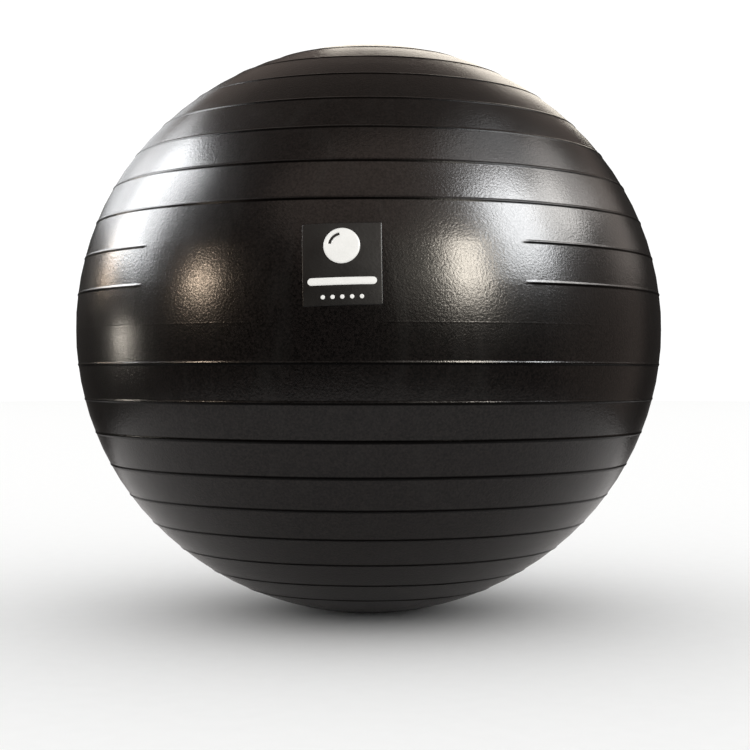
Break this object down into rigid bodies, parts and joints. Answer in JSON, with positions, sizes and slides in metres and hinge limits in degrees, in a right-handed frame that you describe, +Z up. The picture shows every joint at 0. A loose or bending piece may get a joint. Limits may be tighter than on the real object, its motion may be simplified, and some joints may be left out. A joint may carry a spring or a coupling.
{
  "type": "exercise ball",
  "caption": "Inflated exercise ball with raised moulded rings, smooth front and back panels, a printed square label and a push-in air valve plug.",
  "frame": {"origin": "on the floor under the centre of the ball, in the middle of its flattened contact patch", "axes": "+Z up, along the ball's axis; -Y towards the smooth front panel with the label; the valve is on the +Y side"},
  "size_m": [0.6504, 0.6504, 0.6301],
  "materials": {
    "ball_skin": "black soft PVC, satin with a fine leather grain",
    "label_film": "thin black printed film, satin",
    "white_print": "white screen print",
    "valve_seat": "black moulded PVC, satin",
    "valve_plug": "black moulded polyethylene, matt"
  },
  "bodies": {
    "ball": {"ball_shell": "ball_skin", "label_patch": "label_film", "label_emblem": "white_print", "valve_seat": "valve_seat"},
    "plug": {"valve_plug": "valve_plug"}
  },
  "joints": [
    {"name": "plug_pull", "type": "slide", "parent": "ball", "child": "plug", "axis": [0, 0.9823, 0.1874], "range_m": [0, 0.03]}
  ]
}
